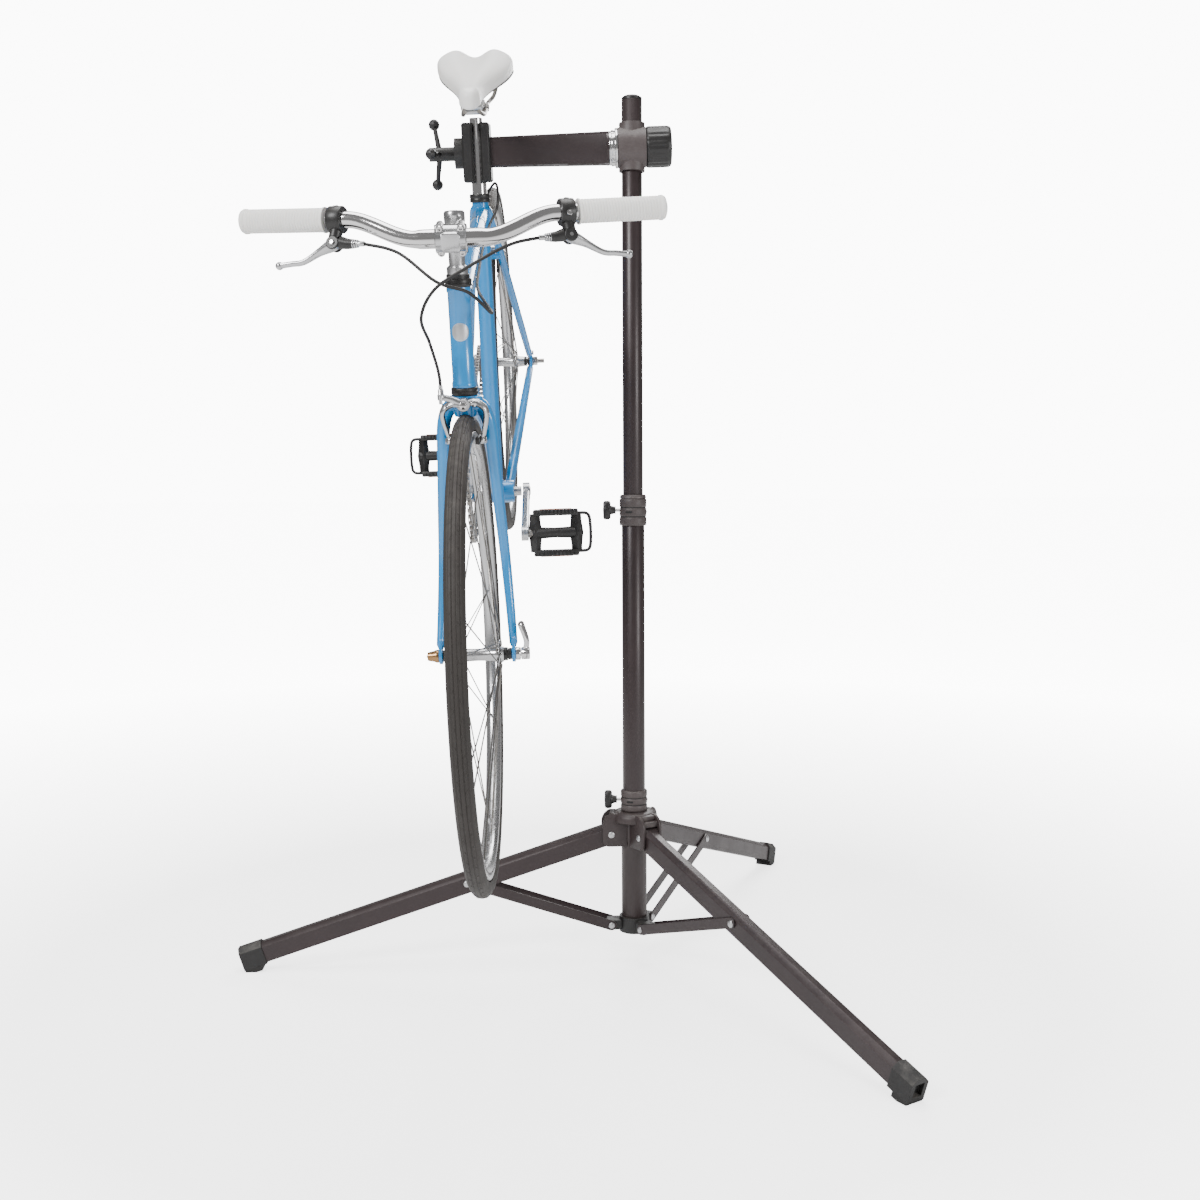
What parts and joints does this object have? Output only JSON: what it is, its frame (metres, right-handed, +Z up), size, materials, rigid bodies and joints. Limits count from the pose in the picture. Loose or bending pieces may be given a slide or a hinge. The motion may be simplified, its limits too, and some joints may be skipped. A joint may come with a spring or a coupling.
{
  "type": "bicycle on repair stand",
  "caption": "City bicycle held nose down by its seatpost in the clamp of a folding tripod repair stand, with turning wheels, steering, brakes and crank.",
  "frame": {"origin": "floor level, under the middle of the object's box", "axes": "+Z up; the bicycle faces -Y; the mast stands to the +X side of the bicycle"},
  "size_m": [1.1024, 1.6091, 1.6168],
  "materials": {
    "anodised": "satin",
    "collar_plastic": "matte",
    "black_plastic": "satin",
    "rubber": "matte",
    "tyre_rubber": "matte",
    "blue_paint": "gloss",
    "white_rubber": "matte",
    "white_vinyl": "satin",
    "chrome": "polished",
    "alloy": "polished",
    "steel": "satin"
  },
  "bodies": {
    "base": {"main_tube": "anodised", "brace_ring": "black_plastic", "mid_collar": "collar_plastic"},
    "mid_knob": {"mid_knob": "black_plastic"},
    "hub_knob": {"hub_knob": "black_plastic"},
    "tripod_hub": {"tripod_hub": "collar_plastic"},
    "mast_upper": {"upper_tube": "anodised", "mast_cap": "black_plastic"},
    "head": {"head_collar": "collar_plastic"},
    "tension_knob": {"tension_knob": "black_plastic"},
    "clamp": {"clamp_arm": "anodised", "lock_ring": "chrome", "fixed_jaw": "black_plastic", "frame": "blue_paint", "headset_upper": "black_plastic", "headset_lower": "black_plastic", "seatpost": "chrome", "seat_clamp": "black_plastic", "saddle_rails": "steel", "saddle": "white_vinyl", "chain": "steel", "rear_brake_cable": "rubber"},
    "moving_jaw": {"moving_jaw": "black_plastic"},
    "clamp_handle": {"clamp_handle": "black_plastic"},
    "steering": {"fork": "blue_paint", "stem": "alloy", "handlebar": "chrome", "grip_left": "white_rubber", "grip_right": "white_rubber", "lever_clamp_left": "black_plastic", "lever_clamp_right": "black_plastic", "front_skewer": "chrome", "front_brake_cable": "rubber"},
    "quick_release": {"quick_release_lever": "chrome"},
    "front_wheel": {"front_tyre": "tyre_rubber", "front_rim": "alloy", "front_hub": "alloy"},
    "rear_wheel": {"rear_tyre": "tyre_rubber", "rear_rim": "alloy", "rear_hub": "alloy"},
    "freewheel": {"freewheel": "steel"},
    "crank": {"crank_right": "alloy", "crank_left": "alloy"},
    "pedal_left": {"pedal_left": "black_plastic"},
    "pedal_right": {"pedal_right": "black_plastic"},
    "brake_lever_left": {"brake_lever_left": "alloy"},
    "brake_lever_right": {"brake_lever_right": "alloy"},
    "leg_left": {"leg_left": "anodised", "foot_left": "rubber"},
    "brace_left": {"brace_left": "anodised"},
    "leg_right": {"leg_right": "anodised", "foot_right": "rubber"},
    "brace_right": {"brace_right": "anodised"},
    "leg_rear": {"leg_rear": "anodised", "foot_rear": "rubber"},
    "brace_rear": {"brace_rear": "anodised"},
    "front_brake_left": {"front_brake_arm_left": "alloy"},
    "front_brake_right": {"front_brake_arm_right": "alloy"},
    "rear_brake_left": {"rear_brake_arm_left": "alloy"},
    "rear_brake_right": {"rear_brake_arm_right": "alloy"}
  },
  "joints": [
    {"name": "mast_height", "type": "slide", "parent": "base", "child": "mast_upper", "axis": [0, 0, 1], "range_m": [-0.15, 0.06]},
    {"name": "head_swivel", "type": "hinge", "parent": "mast_upper", "child": "head", "pos_m": [0.1578, 0.0072, 1.438], "axis": [0, 0, 1], "range_deg": [-180, 180]},
    {"name": "arm_tilt", "type": "hinge", "parent": "head", "child": "clamp", "pos_m": [0.1578, 0.0072, 1.438], "axis": [0.9996, 0, 0.0297], "range_deg": [-180, 14]},
    {"name": "tension_knob_turn", "type": "hinge", "parent": "head", "child": "tension_knob", "pos_m": [0.1578, 0.0072, 1.438], "axis": [0.9996, 0, 0.0297], "continuous": true},
    {"name": "jaw_opening", "type": "slide", "parent": "clamp", "child": "moving_jaw", "axis": [-0.9996, 0, -0.0297], "range_m": [0, 0.03]},
    {"name": "clamp_handle_turn", "type": "hinge", "parent": "moving_jaw", "child": "clamp_handle", "pos_m": [-0.13184, 0.03669, 1.43493], "axis": [-0.9996, 0, -0.0297], "range_deg": [0, 2161]},
    {"name": "hub_slide", "type": "slide", "parent": "base", "child": "tripod_hub", "axis": [0, 0, 1], "range_m": [0, 0.375]},
    {"name": "leg_left_fold", "type": "hinge", "parent": "tripod_hub", "child": "leg_left", "pos_m": [0.11584, 0.00537, 0.238], "axis": [0.0436, -0.999, 0], "range_deg": [0, 66.93]},
    {"name": "brace_left_fold", "type": "hinge", "parent": "base", "child": "brace_left", "pos_m": [0.11584, 0.00537, 0.071], "axis": [-0.0436, 0.999, 0], "range_deg": [0, 66.93]},
    {"name": "leg_right_fold", "type": "hinge", "parent": "tripod_hub", "child": "leg_right", "pos_m": [0.18037, -0.02822, 0.238], "axis": [0.8434, 0.5373, 0], "range_deg": [0, 66.93]},
    {"name": "brace_right_fold", "type": "hinge", "parent": "base", "child": "brace_right", "pos_m": [0.18037, -0.02822, 0.071], "axis": [-0.8434, -0.5373, 0], "range_deg": [0, 66.93]},
    {"name": "leg_rear_fold", "type": "hinge", "parent": "tripod_hub", "child": "leg_rear", "pos_m": [0.17719, 0.04445, 0.238], "axis": [-0.887, 0.4617, 0], "range_deg": [0, 66.93]},
    {"name": "brace_rear_fold", "type": "hinge", "parent": "base", "child": "brace_rear", "pos_m": [0.17719, 0.04445, 0.071], "axis": [0.887, -0.4617, 0], "range_deg": [0, 66.93]},
    {"name": "mid_knob_turn", "type": "hinge", "parent": "base", "child": "mid_knob", "pos_m": [0.134, 0.0072, 0.8165], "axis": [1, 0, 0], "continuous": true},
    {"name": "hub_knob_turn", "type": "hinge", "parent": "tripod_hub", "child": "hub_knob", "pos_m": [0.134, 0.0072, 0.2983], "axis": [1, 0, 0], "continuous": true},
    {"name": "steering", "type": "hinge", "parent": "clamp", "child": "steering", "pos_m": [-0.09421, -0.48362, 0.99645], "axis": [-0.0292, -0.184, 0.9825], "range_deg": [-45, 45], "deforming": ["rear_brake_cable"]},
    {"name": "front_wheel_spin", "type": "hinge", "parent": "steering", "child": "front_wheel", "pos_m": [-0.0832, -0.45992, 0.62537], "axis": [0.9996, 0, 0.0297], "continuous": true},
    {"name": "rear_wheel_spin", "type": "hinge", "parent": "clamp", "child": "rear_wheel", "pos_m": [-0.09746, 0.45984, 1.106], "axis": [0.9996, 0, 0.0297], "continuous": true},
    {"name": "crank_spin", "type": "hinge", "parent": "clamp", "child": "crank", "pos_m": [-0.08979, 0.11628, 0.84751], "axis": [0.9996, 0, 0.0297], "continuous": true},
    {"name": "freewheel_spin", "type": "hinge", "parent": "clamp", "child": "freewheel", "pos_m": [-0.09746, 0.45984, 1.106], "axis": [0.9996, 0, 0.0297], "continuous": true},
    {"name": "pedal_left_spin", "type": "hinge", "parent": "crank", "child": "pedal_left", "pos_m": [-0.02472, -0.03829, 0.77865], "axis": [0.9996, 0, 0.0297], "continuous": true},
    {"name": "brake_lever_left_pull", "type": "hinge", "parent": "steering", "child": "brake_lever_left", "pos_m": [0.05582, -0.57432, 1.19977], "axis": [0.2544, -0.9489, 0.187], "range_deg": [0, 22], "stiffness_Nm_per_rad": 1.5, "deforming": ["front_brake_cable"]},
    {"name": "pedal_right_spin", "type": "hinge", "parent": "crank", "child": "pedal_right", "pos_m": [-0.15486, 0.27085, 0.91638], "axis": [0.9996, 0, 0.0297], "continuous": true},
    {"name": "brake_lever_right_pull", "type": "hinge", "parent": "steering", "child": "brake_lever_right", "pos_m": [-0.25604, -0.57432, 1.19052], "axis": [0.265, 0.9489, -0.1715], "range_deg": [0, 22], "stiffness_Nm_per_rad": 1.5},
    {"name": "front_brake_left_close", "type": "hinge", "parent": "steering", "child": "front_brake_left", "pos_m": [-0.09385, -0.49691, 0.9843], "axis": [-0.0055, 0.9829, 0.1839], "range_deg": [0, 3.1]},
    {"name": "front_brake_right_close", "type": "hinge", "parent": "steering", "child": "front_brake_right", "pos_m": [-0.09385, -0.49691, 0.9843], "axis": [0.0055, -0.9829, -0.1839], "range_deg": [0, 3.1]},
    {"name": "rear_brake_left_close", "type": "hinge", "parent": "clamp", "child": "rear_brake_left", "pos_m": [-0.10263, 0.1413, 1.28011], "axis": [-0.0263, 0.4645, 0.8852], "range_deg": [0, 2.5]},
    {"name": "rear_brake_right_close", "type": "hinge", "parent": "clamp", "child": "rear_brake_right", "pos_m": [-0.10263, 0.1413, 1.28011], "axis": [0.0263, -0.4645, -0.8852], "range_deg": [0, 2.5]},
    {"name": "quick_release_turn", "type": "hinge", "parent": "steering", "child": "quick_release", "pos_m": [-0.01393, -0.45992, 0.62742], "axis": [0.9996, 0, 0.0297], "range_deg": [-170, 170]}
  ],
  "couplings": [
    {"joint": "clamp_handle_turn", "follows": "jaw_opening", "rad_per_m": 1256.6},
    {"joint": "freewheel_spin", "follows": "crank_spin", "ratio": 2.697},
    {"joint": "leg_left_fold", "follows": "hub_slide", "rad_per_m": 3.1127},
    {"joint": "brace_left_fold", "follows": "hub_slide", "rad_per_m": 3.1127},
    {"joint": "leg_right_fold", "follows": "hub_slide", "rad_per_m": 3.1127},
    {"joint": "brace_right_fold", "follows": "hub_slide", "rad_per_m": 3.1127},
    {"joint": "leg_rear_fold", "follows": "hub_slide", "rad_per_m": 3.1127},
    {"joint": "brace_rear_fold", "follows": "hub_slide", "rad_per_m": 3.1127},
    {"joint": "front_brake_left_close", "follows": "brake_lever_left_pull", "ratio": 0.1364},
    {"joint": "front_brake_right_close", "follows": "brake_lever_left_pull", "ratio": 0.1364},
    {"joint": "rear_brake_left_close", "follows": "brake_lever_right_pull", "ratio": 0.1091},
    {"joint": "rear_brake_right_close", "follows": "brake_lever_right_pull", "ratio": 0.1091}
  ]
}
